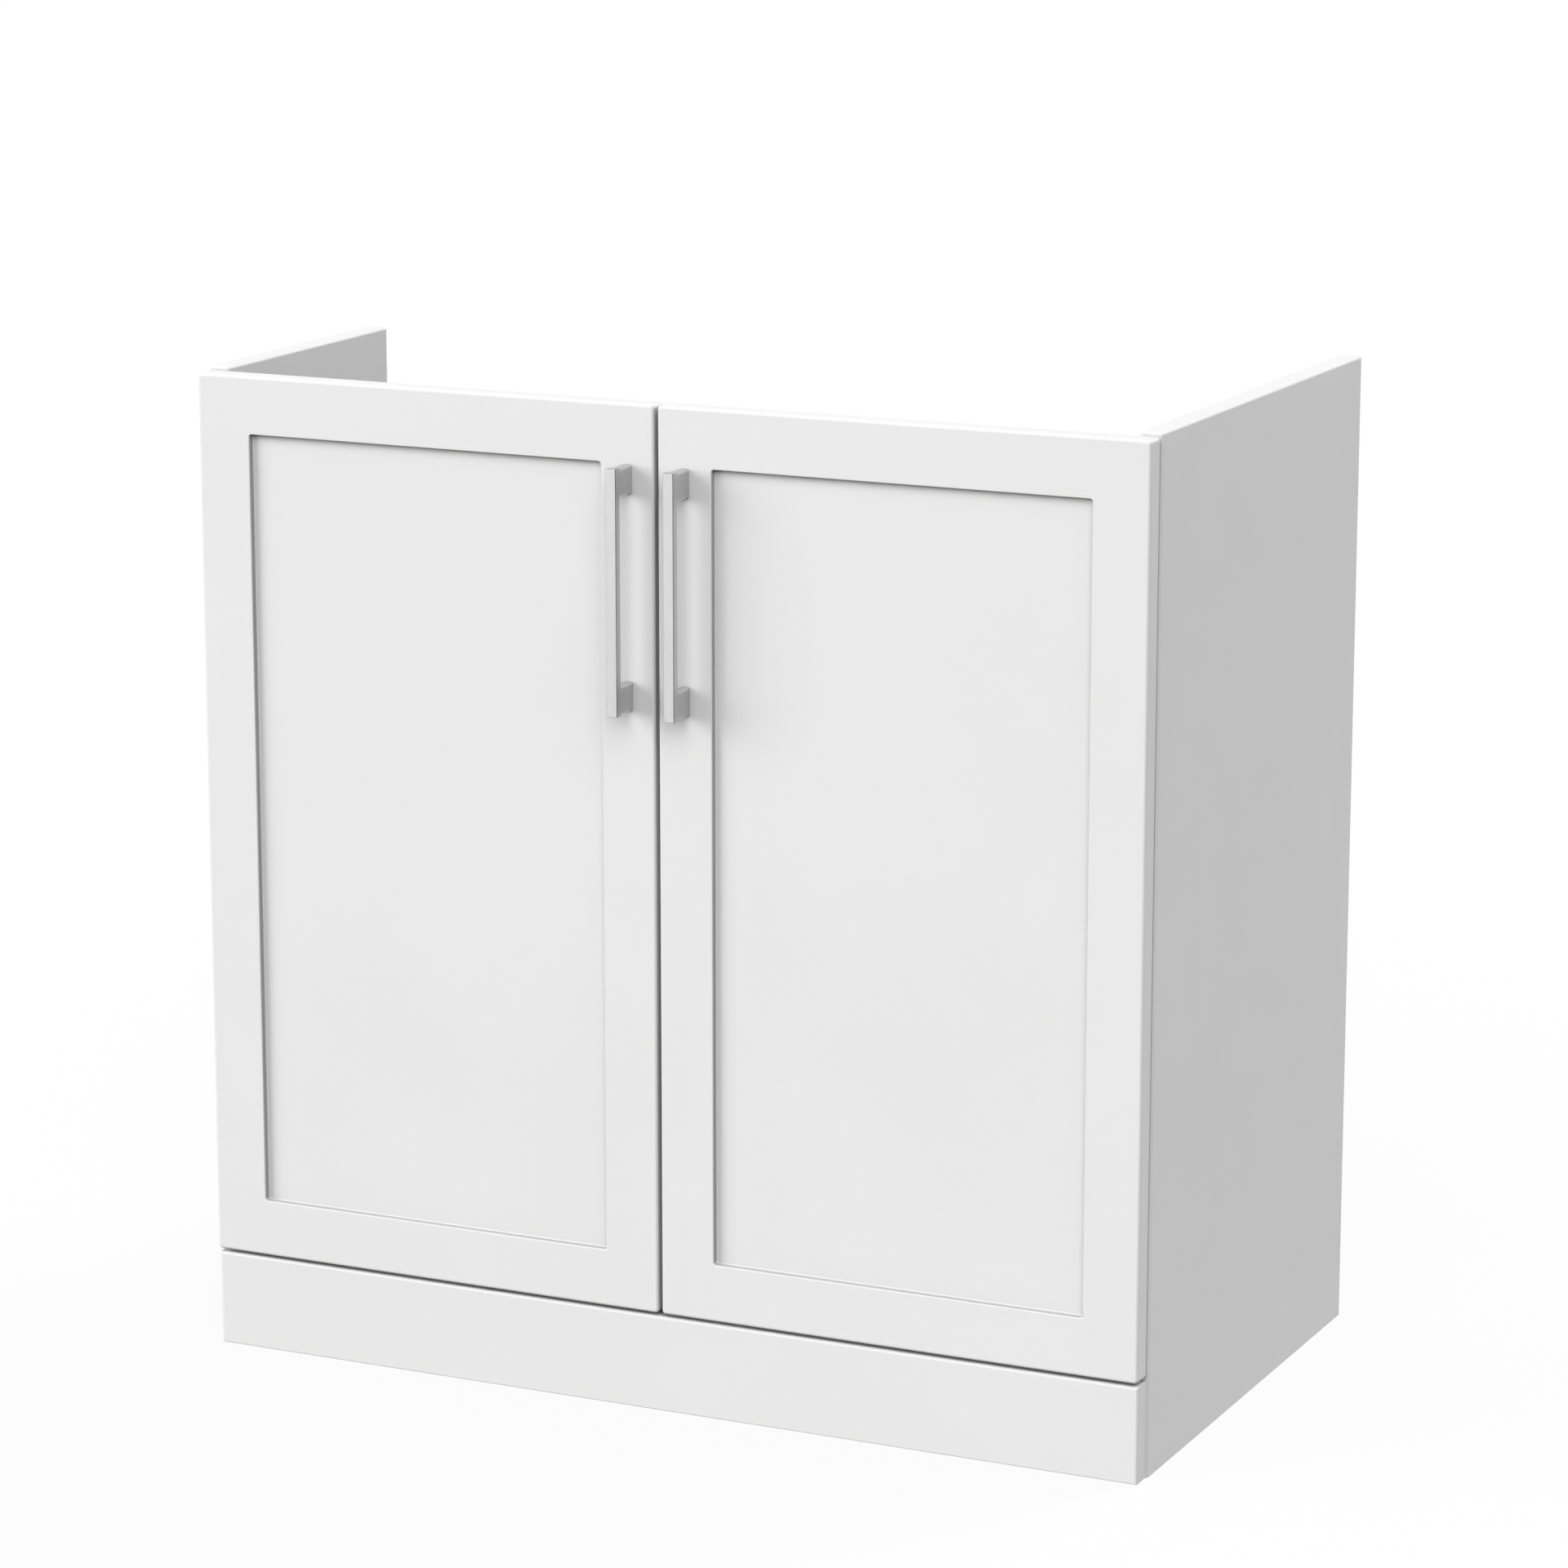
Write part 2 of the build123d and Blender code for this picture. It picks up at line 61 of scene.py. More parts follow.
# ---- Light ---------------------------------------------------------------------------------
# Azimuth and elevation that a lamp shines from, its strength, and the angle that it fills.
LAMPS = {
    "key": (-52.5, 12.0, 2.04, 44.0),      # low, from the left of the doors
    "fill": (20.0, 36.0, 1.86, 50.0),      # from above, on the camera's side
    "back": (148.0, 38.0, 1.45, 40.0),     # onto the right-hand side panel
}
SKY_LEVEL = 0.30
FLOOR_BOUNCE = 0.05            # light that the floor sends back up to the cabinet
FLOOR_SEEN = 0.93              # floor's colour to the eye
FLOOR_GLOW = 0.92              # share of plain white in what the eye sees of the floor
FLOOR_ROUGHNESS = 0.9
FLOOR_REACH = 40.0
DIFFUSE_BOUNCES = 0            # crisp, dark gaps and corners

# ---- Colours: a finish's darker and paler tone ---------------------------------------------
FOIL_WHITES = ((0.838, 0.838, 0.835, 1.0), (0.855, 0.855, 0.853, 1.0))
BOARD_WHITES = ((0.836, 0.836, 0.833, 1.0), (0.852, 0.852, 0.85, 1.0))
CHIP_BROWNS = ((0.27, 0.16, 0.08, 1.0), (0.63, 0.46, 0.28, 1.0))
FIBRE_BROWNS = ((0.34, 0.23, 0.13, 1.0), (0.44, 0.31, 0.19, 1.0))
BEECH_BROWNS = ((0.52, 0.34, 0.19, 1.0), (0.72, 0.54, 0.35, 1.0))
CLEAR_TINTS = ((0.80, 0.80, 0.78, 1.0), (0.88, 0.88, 0.87, 1.0))
HANDLE_GREYS = ((0.565, 0.565, 0.568, 1.0), (0.59, 0.59, 0.593, 1.0))
HANDLE_EDGE_SHADE = (0.30, 0.30, 0.302, 1.0)     # one tone, for the painted dark reflection on the edges round a handle's front
NICKEL_GREYS = ((0.62, 0.61, 0.58, 1.0), (0.66, 0.65, 0.62, 1.0))
ZINC_PLATE_GREYS = ((0.53, 0.55, 0.58, 1.0), (0.63, 0.65, 0.67, 1.0))
BRIGHT_GREYS = ((0.54, 0.54, 0.54, 1.0), (0.60, 0.60, 0.60, 1.0))
SCREW_GREYS = ((0.58, 0.59, 0.60, 1.0), (0.66, 0.67, 0.68, 1.0))
CAST_GREYS = ((0.46, 0.46, 0.47, 1.0), (0.55, 0.55, 0.56, 1.0))

# ---- Coverings of the boards ---------------------------------------------------------------
SKIN = 0.25 * MM               # thickness of a board's white face
BAND = 0.6 * MM                # thickness of an edge band
ROUNDED = 3.2 * MM             # depth of a rounded edge's white wrap
FOIL_DEPTH = 6.3 * MM          # door's front to behind its sunk field
COVER_CLOUD = 220 * MM         # size of the slow changes in a covering's white
COVER_PATCH = 35 * MM          # size of its duller and glossier patches
COVER_ROUGHNESS = (0.36, 0.44)
PEARL = (0.9 * MM, 4e-6)       # size and depth of the fine texture on melamine
ORANGE_PEEL = (2.2 * MM, 7e-6)             # and of the one on foil
CORE_ROUGHNESS = 0.5           # what the bare core adds to a board's roughness
CORE_RELIEF = 0.12 * MM        # height of the core's flakes or fibres
CHIP_FLAKE = 2.6 * MM          # size of the chipboard's flakes
CHIP_FINES = 0.8 * MM          # size of the grains among them
CHIP_FLAKE_SHARE = 0.7         # how much of the chipboard's colour the flakes decide
FIBRE_FUZZ = 0.5 * MM          # size of the fibreboard's felted fibre

# ---- Metal ---------------------------------------------------------------------------------
METAL_CLOUD = 12 * MM          # size of the slow changes in a metal's colour
METAL_GLOSS = 0.06             # how far a metal's roughness strays either way
HANDLE_BRUSHING = 0.35 * MM    # width of the brush lines, which run up and down
HANDLE_ROUGHNESS = (0.29, 0.39)
HANDLE_RELIEF = 3e-6
HANDLE_SHADE_WIDTH = 1.3 * MM         # width of the painted dark reflection on the edges round a handle's front face
FACING = (0.87, 0.99)          # cosines of the slopes that facing() runs between
EASED = 0.25 * MM              # width of the bevel on pressed metal
EASED_CAST = 0.3 * MM          # the same on cast metal
EASED_ANGLE = 30               # edges that turn by more degrees than this are eased
FLAT_ANGLE = 0.3               # faces that differ by fewer degrees than this are made one
WELD = 0.001 * MM              # points closer than this are made one
SHARP_ANGLE = 35               # edges that turn by more degrees than this are shaded sharp

# ---- Screws, bolts, dowels and bumpers -----------------------------------------------------
TURNED_SIDES = 28
THREAD_STEPS = 10              # stations in one turn of a thread
THREAD_RIDGE = 0.28            # half of a ridge's width, as a share of the pitch
SCREW_ROOT = 0.72              # radius between the ridges, as a share of the shaft's radius
SCREW_NECK = 0.3 * MM          # stretch under a head where the root widens to the shaft
BLUNT_TIP = 0.4 * MM           # chamfer at the end of a screw that isn't pointed
HEAD_ROUNDING = 2.6            # 2 would be an ellipse, and more is squarer
DOME_STEPS = 9
BLADE_TAPER = 0.45             # a recess's size at its bottom, as a share of its top
BOLT_THREAD = 11 * MM          # a cam bolt's stretches, from its tip to its head
BOLT_COLLAR = 26.4 * MM
BOLT_HEAD = 3 * MM
BOLT_PITCH = 1.7 * MM
BOLT_ROOT_RADIUS = 1.8 * MM
BOLT_CREST_RADIUS = 2.5 * MM
BOLT_COLLAR_RADIUS = 3 * MM
BOLT_NECK_RADIUS = 2 * MM
BOLT_HEAD_RADIUS = 3.2 * MM
DOWEL_FLUTES = 14
DOWEL_CHAMFER = 1.2 * MM
DOWEL_END = 0.72               # radius of a chamfered end, as a share of the dowel's radius
FLUTE_SWING = 0.03             # half of the flutes' depth, as a share of the dowel's radius


# ---- Building node materials ---------------------------------------------------------------
class Finish:
    """A node material in the making, with short calls for what several finishes share."""

    def __init__(self, name):
        self.material = bpy.data.materials.new(name)
        self.material.use_nodes = True
        self.tree = self.material.node_tree
        self.shader = self.tree.nodes["Principled BSDF"]
        coordinates = self.add("ShaderNodeTexCoord").outputs
        self.place = coordinates["Object"]
        self.normal = coordinates["Normal"]

    def add(self, kind, **settings):
        node = self.tree.nodes.new(kind)
        for key, value in settings.items():
            setattr(node, key, value)
        return node

    def put(self, socket, value):
        """Links an output to a socket, or sets a constant on it."""
        if isinstance(value, bpy.types.NodeSocket):
            self.tree.links.new(value, socket)
        else:
            socket.default_value = value

    def set(self, **values):
        """Shader inputs by name, with _ for a space."""
        for key, value in values.items():
            self.put(self.shader.inputs[key.replace("_", " ")], value)

    def math(self, operation, *values):
        node = self.add("ShaderNodeMath", operation=operation)
        for socket, value in zip(node.inputs, values):
            self.put(socket, value)
        return node.outputs[0]

    def opposite(self, share):
        """1 where a share is 0, and 0 where it is 1."""
        return self.math("SUBTRACT", 1.0, share)

    def any_of(self, masks):
        """1 where at least one of several masks is 1."""
        total = masks[0]
        for mask in masks[1:]:
            total = self.math("MAXIMUM", total, mask)
        return total

    def part(self, vector, axis):
        """One of the three numbers of a vector or a colour, by its name or its place."""
        split = self.add("ShaderNodeSeparateXYZ")
        self.put(split.inputs[0], vector)
        return split.outputs[axis]

    def coordinate(self, axis):
        """One coordinate of the object at rest. X counts from the cabinet's middle plane."""
        value = self.part(self.place, axis)
        return self.math("ABSOLUTE", value) if axis == "X" else value

    def stretched(self, stretch):
        mapping = self.add("ShaderNodeMapping")
        self.put(mapping.inputs["Vector"], self.place)
        mapping.inputs["Scale"].default_value = stretch
        return mapping.outputs["Vector"]

    def noise(self, size, detail=2.0, stretch=(1, 1, 1)):
        """Noise whose features are about size metres wide, drawn out where stretch is small."""
        node = self.add("ShaderNodeTexNoise")
        self.put(node.inputs["Vector"], self.stretched(stretch))
        node.inputs["Scale"].default_value = 1 / size
        node.inputs["Detail"].default_value = detail
        return node.outputs["Fac"]

    def cells(self, size, stretch=(1, 1, 1)):
        """A random value for each cell of about size metres."""
        node = self.add("ShaderNodeTexVoronoi")
        self.put(node.inputs["Vector"], self.stretched(stretch))
        node.inputs["Scale"].default_value = 1 / size
        return self.part(node.outputs["Color"], 0)

    def spread(self, value, low, high, start=0.3, end=0.7):
        """Carries the start..end of a value over to low..high. Noise fills about 0.3 to 0.7."""
        node = self.add("ShaderNodeMapRange")
        for socket, number in zip(node.inputs, (value, start, end, low, high)):
            self.put(socket, number)
        return node.outputs["Result"]

    def blend(self, share, low, high):
        """Colours low to high by a share from 0 to 1."""
        node = self.add("ShaderNodeMix", data_type="RGBA")
        self.put(node.inputs["Factor"], share)
        colours = [socket for socket in node.inputs if socket.type == "RGBA"]
        self.put(colours[0], low)
        self.put(colours[1], high)
        return [socket for socket in node.outputs if socket.type == "RGBA"][0]

    def toned(self, noise, tones):
        """The darker to the paler of two tones, as noise goes."""
        return self.blend(self.spread(noise, 0, 1), *tones)

    def relief(self, *layers):
        """Bumps from pairs of a height from 0 to 1 and its depth in metres."""
        normal = None
        for height, depth in layers:
            node = self.add("ShaderNodeBump")
            node.inputs["Distance"].default_value = depth
            self.put(node.inputs["Height"], height)
            if normal is not None:
                self.put(node.inputs["Normal"], normal)
            normal = node.outputs["Normal"]
        self.set(Normal=normal)

    def facing(self, axis):
        """1 where the surface looks along an axis, and 0 where it looks 30 degrees off or more."""
        return self.spread(self.math("ABSOLUTE", self.part(self.normal, axis)), 0, 1, *FACING)

    def near(self, axis, value, depth):
        """1 where a coordinate is within depth of a value."""
        return self.math("COMPARE", self.coordinate(axis), value, depth)


# ---- Finishes of the boards ----------------------------------------------------------------
def chip_core(finish):
    """Bare chipboard: pressed flakes of several browns. Gives its colour and its height."""
    flakes = finish.cells(CHIP_FLAKE, stretch=(1, 1, 1.7))
    fines = finish.noise(CHIP_FINES, detail=3)
    fines_part = finish.math("MULTIPLY", fines, 1 - CHIP_FLAKE_SHARE)
    tone = finish.math("MULTIPLY_ADD", flakes, CHIP_FLAKE_SHARE, fines_part)
    return finish.blend(finish.spread(tone, 0, 1, start=0.05, end=0.85), *CHIP_BROWNS), flakes


def fibre_core(finish):
    """Bare fibreboard: fine felted fibre. Gives its colour and its height."""
    fuzz = finish.noise(FIBRE_FUZZ, detail=4)
    return finish.toned(fuzz, FIBRE_BROWNS), fuzz


def covered_board(name, core, whites, texture, masks_of):
    """White covering where masks_of says, and the bare core elsewhere, as in every bore."""
    finish = Finish(name)
    covered = finish.any_of(masks_of(finish))
    bare = finish.opposite(covered)
    core_colour, core_height = core(finish)
    white = finish.toned(finish.noise(COVER_CLOUD, detail=3), whites)
    finish.set(Base_Color=finish.blend(covered, core_colour, white))
    patchy = finish.spread(finish.noise(COVER_PATCH, detail=4), *COVER_ROUGHNESS)
    finish.set(Roughness=finish.math("ADD", patchy, finish.math("MULTIPLY", bare, CORE_ROUGHNESS)))
    grain_size, grain_depth = texture
    finish.relief((finish.noise(grain_size, detail=2), grain_depth),
                  (finish.math("MULTIPLY", core_height, bare), CORE_RELIEF))
    return finish.material


def faces_of(node, more_masks=(), **depths):
    """What covers a board's box: depths by face, as x_low, x_high and so on for y and z.

    X counts from the middle plane, so a right-hand board's box serves its left-hand twin too.
    """
    low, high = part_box(node)
    corners = {"low": low, "high": high}

    def masks(finish):
        made = [mask(finish) for mask in more_masks]
        for key, depth in depths.items():
            axis, end = key.split("_")
            made.append(finish.near(axis.upper(), getattr(corners[end], axis), depth))
        return made
    return masks


def cutout_band(finish):
    """1 where the left panel's cut-out is: ahead of its back, above the upper back rail's top."""
    rail_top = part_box("back_rail_upper")[1].z
    panel_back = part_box("side_panel_left")[1].y
    above = finish.math("GREATER_THAN", finish.coordinate("Z"), rail_top - BAND)
    ahead = finish.math("LESS_THAN", finish.coordinate("Y"), panel_back - BAND)
    return finish.math("MULTIPLY", above, ahead)


def board_finish(name, node, more_masks=(), **depths):
    """Melamine-faced chipboard: a fine pearl texture on its white faces and banded edges."""
    return covered_board(name, chip_core, BOARD_WHITES, PEARL, faces_of(node, more_masks, **depths))


def foil_finish(name, node, **depths):
    """Foil-wrapped fibreboard: smooth, with the faint orange peel of a pressed film."""
    return covered_board(name, fibre_core, FOIL_WHITES, ORANGE_PEEL, faces_of(node, **depths))


# ---- Finishes of the metal and small pieces ------------------------------------------------
def metal_finish(name, greys, roughness, size, stretch=(1, 1, 1), depth=2e-6):
    """Metal whose gloss and relief vary in grains of a size, drawn out by stretch."""
    finish = Finish(name)
    grain = finish.noise(size, detail=3, stretch=stretch)
    finish.set(Metallic=1.0, Base_Color=finish.toned(finish.noise(METAL_CLOUD, detail=3), greys))
    finish.set(Roughness=finish.spread(grain, roughness - METAL_GLOSS, roughness + METAL_GLOSS))
    finish.relief((grain, depth))
    return finish.material


def handle_finish(front):
    """Satin aluminium, brushed along the bar, with a painted dark reflection on the edges round its
    front face.
    """
    finish = Finish("brushed_aluminium")
    brushing = finish.noise(HANDLE_BRUSHING, detail=3, stretch=(1, 1, 0.02))
    face = finish.toned(finish.noise(METAL_CLOUD, detail=3), HANDLE_GREYS)
    beside = finish.opposite(finish.facing("Y"))
    # painted dark reflection: the sides next to the front face get a darker colour
    edge_shade = finish.math("MULTIPLY", finish.near("Y", front, HANDLE_SHADE_WIDTH), beside)
    finish.set(Metallic=1.0, Base_Color=finish.blend(edge_shade, face, HANDLE_EDGE_SHADE))
    finish.set(Roughness=finish.spread(brushing, *HANDLE_ROUGHNESS))
    finish.relief((brushing, HANDLE_RELIEF))
    return finish.material


def beech_finish():
    """Beech whose grain runs along X, as the dowels do."""
    finish = Finish("beech")
    rings = finish.noise(size=1.2 * MM, detail=4, stretch=(0.06, 1, 1))
    pores = finish.noise(size=0.25 * MM, detail=2, stretch=(0.08, 1, 1))
    finish.set(Base_Color=finish.toned(rings, BEECH_BROWNS), Roughness=0.62)
    finish.relief((pores, 0.05 * MM))
    return finish.material


def bumper_finish():
    """Clear soft plastic with a slight haze."""
    finish = Finish("clear_bumper")
    haze = finish.noise(size=2 * MM, detail=3)
    finish.set(Base_Color=finish.toned(haze, CLEAR_TINTS), Transmission_Weight=0.75, IOR=1.49)
    finish.set(Roughness=finish.spread(haze, low=0.16, high=0.28))
    finish.relief((haze, 5e-6))
    return finish.material


# ---- Turned and threaded shapes: each hardware piece stands round Z, its top at height 0 -----
def turned(stations, sides=TURNED_SIDES):
    """A closed mesh round Z. Each station is a height and a radius, or its rule by angle."""
    shape = bmesh.new()
    rings = []
    for height, radius in stations:
        ring = []
        for k in range(sides):
            angle = 2 * math.pi * k / sides
            reach = radius(angle) if callable(radius) else radius
            ring.append(shape.verts.new((reach * math.cos(angle), reach * math.sin(angle), height)))
        rings.append(ring)
    for lower, upper in zip(rings, rings[1:]):
        for k in range(sides):
            after = (k + 1) % sides
            shape.faces.new((lower[k], lower[after], upper[after], upper[k]))
    for ring, height in ((rings[0], stations[0][0]), (rings[-1], stations[-1][0])):
        middle = shape.verts.new((0, 0, height))
        for k in range(sides):
            shape.faces.new((middle, ring[k], ring[(k + 1) % sides]))
    bmesh.ops.recalc_face_normals(shape, faces=shape.faces)
    return shape


def dome(radius, height, power):
    """Stations of a rounded head or cap, from its rim at height 0 to its top."""
    top_radius = radius * 0.02
    stations = []
    for k in range(DOME_STEPS):
        turn = math.pi / 2 * k / DOME_STEPS
        stations.append((height * math.sin(turn) ** (2 / power), radius * math.cos(turn) ** (2 / power)))
    return stations + [(height, top_radius)]


def thread(root, crest, pitch, start, end):
    """Stations of a screw thread that fades in and out over one turn at each end."""
    count = round(abs(end - start) / pitch * THREAD_STEPS)
    stations = []
    for k in range(1, count):
        height = start + (end - start) * k / count
        fade = min(1.0, abs(height - start) / pitch, abs(end - height) / pitch)

        def radius(angle, height=height, fade=fade):
            phase = (height / pitch - angle / (2 * math.pi)) % 1.0
            ridge = max(0.0, 1 - abs(phase - 0.5) / THREAD_RIDGE)
            return root + (crest - root) * ridge * fade
        stations.append((height, radius))
    return stations


def in_scene(name, shape):
    """A new object in the scene with a shape's mesh, which uses the shape up."""
    mesh = bpy.data.meshes.new(name)
    shape.to_mesh(mesh)
    shape.free()
    made = bpy.data.objects.new(name, mesh)
    bpy.context.scene.collection.objects.link(made)
    return made


def recess_blade(turn, reach, depth, width):
    """One of a cross recess's two blades, which narrows from just above height 0 to its depth."""
    above = 0.2 * depth
    blade = bmesh.new()
    bmesh.ops.create_cube(blade, size=2)
    for vert in blade.verts:
        share, height = (1.0, above) if vert.co.z > 0 else (BLADE_TAPER, -depth)
        vert.co = Vector((vert.co.x * reach * share, vert.co.y * width / 2 * share, height))
    bmesh.ops.rotate(blade, verts=blade.verts, matrix=Matrix.Rotation(math.radians(turn), 3, "Z"))
    return in_scene("blade", blade)


def cut_cross(shape, reach, depth, width):
    """Cuts a tapered cross recess into a shape's top."""
    body = in_scene("screw", shape)
    for turn in (0, 90):
        blade = recess_blade(turn, reach, depth, width)
        cutter = body.modifiers.new("cross", "BOOLEAN")
        cutter.operation = "DIFFERENCE"
        cutter.solver = "EXACT"
        cutter.object = blade
        bpy.context.view_layer.update()
        evaluated = body.evaluated_get(bpy.context.evaluated_depsgraph_get())
        cut = bpy.data.meshes.new_from_object(evaluated)
        body.modifiers.clear()
        body.data = cut
        bpy.data.objects.remove(blade)
    result = bmesh.new()
    result.from_mesh(body.data)
    bpy.data.objects.remove(body)
    return result


def cross_screw(head_radius, length, head_height, shaft_radius, pitch, pointed):
    """A pan-head screw with a cross recess, for wood if it is pointed."""
    root = shaft_radius * SCREW_ROOT
    tip_radius = root * (0.08 if pointed else 0.75)
    tip_length = shaft_radius * 2.2 if pointed else BLUNT_TIP
    rim_radius = head_radius * 0.96
    thread_start = -length + tip_length
    thread_end = -head_height - pitch
    stations = [(-length, tip_radius), (thread_start, root)]
    stations += thread(root, shaft_radius, pitch, thread_start, thread_end)
    stations += [(thread_end, root), (-head_height - SCREW_NECK, root),
                 (-head_height, shaft_radius), (-head_height, rim_radius)]
    stations += [(height - head_height, radius)
                 for height, radius in dome(head_radius, head_height, HEAD_ROUNDING)]
    return cut_cross(turned(stations), reach=head_radius * 0.56, depth=head_height * 0.95,
                     width=head_radius * 0.26)


def bumper(radius, height):
    """A soft dome on a short straight rim, whose foot is eased."""
    rim = 0.3 * height
    foot_radius = 0.96 * radius
    foot_chamfer = 0.1 * MM
    stations = [(-height, foot_radius), (-height + foot_chamfer, radius)]
    stations += [(level - height + rim, reach)
                 for level, reach in dome(radius, height - rim, power=2.0)]
    return turned(stations, sides=36)


def cam_bolt(length):
    """A bolt with a wood thread, a collar, a neck and a round head with an eased top."""
    tip_radius = BOLT_ROOT_RADIUS * 0.7
    thread_start = -length + 0.5 * MM
    collar_start = -length + BOLT_THREAD
    thread_end = collar_start - 0.6 * MM
    collar_full = collar_start + 0.3 * MM
    neck_start = collar_start + BOLT_COLLAR
    collar_end = neck_start - 0.4 * MM
    head_start = -BOLT_HEAD
    neck_end = head_start - 0.5 * MM
    head_top = [(-0.9 * MM, BOLT_HEAD_RADIUS), (-0.3 * MM, BOLT_HEAD_RADIUS - 0.5 * MM),
                (0.0, BOLT_HEAD_RADIUS - 1.5 * MM)]
    stations = [(-length, tip_radius), (thread_start, BOLT_ROOT_RADIUS)]
    stations += thread(BOLT_ROOT_RADIUS, BOLT_CREST_RADIUS, BOLT_PITCH, thread_start, thread_end)
    stations += [(thread_end, BOLT_ROOT_RADIUS), (collar_start, BOLT_ROOT_RADIUS),
                 (collar_start, BOLT_COLLAR_RADIUS - 0.2 * MM), (collar_full, BOLT_COLLAR_RADIUS),
                 (collar_end, BOLT_COLLAR_RADIUS), (neck_start, BOLT_NECK_RADIUS),
                 (neck_end, BOLT_NECK_RADIUS), (head_start, BOLT_HEAD_RADIUS)]
    return turned(stations + head_top)


def fluted_dowel(radius, length):
    """A wood dowel with straight flutes and chamfered ends."""
    def fluted(angle):
        return radius * (1 - FLUTE_SWING + FLUTE_SWING * math.cos(DOWEL_FLUTES * angle))

    end_radius = radius * DOWEL_END
    stations = [(-length, end_radius), (-length + DOWEL_CHAMFER, fluted), (-DOWEL_CHAMFER, fluted),
                (0.0, end_radius)]
    return turned(stations, sides=DOWEL_FLUTES * 6)


# ---- Which way a solid points, from its head to its tip --------------------------------------
def outward(box):
    """From the cabinet's middle plane towards the side that a box is on."""
    return (math.copysign(1, box[0].x + box[1].x), 0, 0)


def forward(box):
    """To the cabinet's front, wherever the box is."""
    return (0, -1, 0)


def outward_or_forward(box):
    """Which of the two ways the longer run of a box goes."""
    low, high = box
    return outward(box) if high.x - low.x > high.y - low.y else forward(box)


# ---- Detailed pieces in place of plain ones --------------------------------------------------
def solids_in(node):
    """The boxes of a node's separate solids, as pairs of corners."""
    shape = bmesh.new()
    shape.from_mesh(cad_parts[node].data)
    bmesh.ops.remove_doubles(shape, verts=shape.verts, dist=WELD)
    left = set(shape.verts)
    boxes = []
    while left:
        found = {left.pop()}
        waiting = list(found)
        while waiting:
            vert = waiting.pop()
            for link in vert.link_edges:
                other = link.other_vert(vert)
                if other in left:
                    left.discard(other)
                    found.add(other)
                    waiting.append(other)
        low = Vector([min(vert.co[k] for vert in found) for k in range(3)])
        high = Vector([max(vert.co[k] for vert in found) for k in range(3)])
        boxes.append((low, high))
    shape.free()
    return sorted(boxes, key=lambda box: tuple(round(c, 5) for c in box[0]))


def radius_and_length(box, way):
    """The size of a round solid that points a way, read from its box."""
    low, high = box
    along = [k for k in range(3) if way[k]][0]
    across = [k for k in range(3) if k != along][0]
    return (high[across] - low[across]) / 2, high[along] - low[along]


def standing(box, way):
    """Where a shape made round Z goes: its top at the end of a box that a way starts from."""
    low, high = box
    start = [(low[k] + high[k]) / 2 for k in range(3)]
    for k in range(3):
        if way[k]:
            start[k] = low[k] if way[k] > 0 else high[k]
    turn = (-Vector(way)).to_track_quat("Z", "X")
    return Matrix.Translation(start) @ turn.to_matrix().to_4x4()


def smooth(piece):
    """Smooth shading, with sharp edges kept."""
    for polygon in piece.data.polygons:
        polygon.use_smooth = True
    piece.data.set_sharp_from_angle(angle=math.radians(SHARP_ANGLE))


def detail(node, body, way_of, make, material, slot):
    """One piece in place of a node, with a copy of one shape for each of the node's solids.

    way_of gives the way that a solid points, from its box. make gives the shape, from the first
    solid's radius and length.
    """
    boxes = solids_in(node)
    shape = make(*radius_and_length(boxes[0], way_of(boxes[0])))
    part = bpy.data.meshes.new("part")
    shape.to_mesh(part)
    shape.free()
    whole = bmesh.new()
    for box in boxes:
        before = len(whole.verts)
        whole.from_mesh(part)
        whole.verts.ensure_lookup_table()
        bmesh.ops.transform(whole, matrix=standing(box, way_of(box)), verts=whole.verts[before:])
    bpy.data.meshes.remove(part)
    piece = in_scene(node + "_detailed", whole)
    piece.data.materials.append(material)
    smooth(piece)
    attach(piece, body)
    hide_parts(node)


# ---- Surfaces of the pieces that the frame brings --------------------------------------------
def soften(node, width):
    """Eases a node's sharp edges with a narrow bevel."""
    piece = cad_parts[node]
    weld = piece.modifiers.new("weld", "WELD")
    weld.merge_threshold = WELD
    flat = piece.modifiers.new("flat", "DECIMATE")
    flat.decimate_type = "DISSOLVE"
    flat.angle_limit = math.radians(FLAT_ANGLE)
    bevel = piece.modifiers.new("ease", "BEVEL")
    bevel.width = width
    bevel.segments = 2
    bevel.limit_method = "ANGLE"
    bevel.angle_limit = math.radians(EASED_ANGLE)
    bevel.harden_normals = True


def paint(node, material):
    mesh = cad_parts[node].data
    mesh.materials.clear()
    mesh.materials.append(material)


# ---- Floor, sky, lamps and camera ------------------------------------------------------------
def seen_by_eye(tree):
    """1 for what is seen, straight, in a gloss or through clear plastic, and 0 for plain light."""
    rays = tree.nodes.new("ShaderNodeLightPath").outputs
    seen = rays["Is Camera Ray"]
    for ray in ("Is Glossy Ray", "Is Transmission Ray"):
        either = tree.nodes.new("ShaderNodeMath")
        either.operation = "MAXIMUM"
        tree.links.new(seen, either.inputs[0])
        tree.links.new(rays[ray], either.inputs[1])
        seen = either.outputs[0]
    return seen


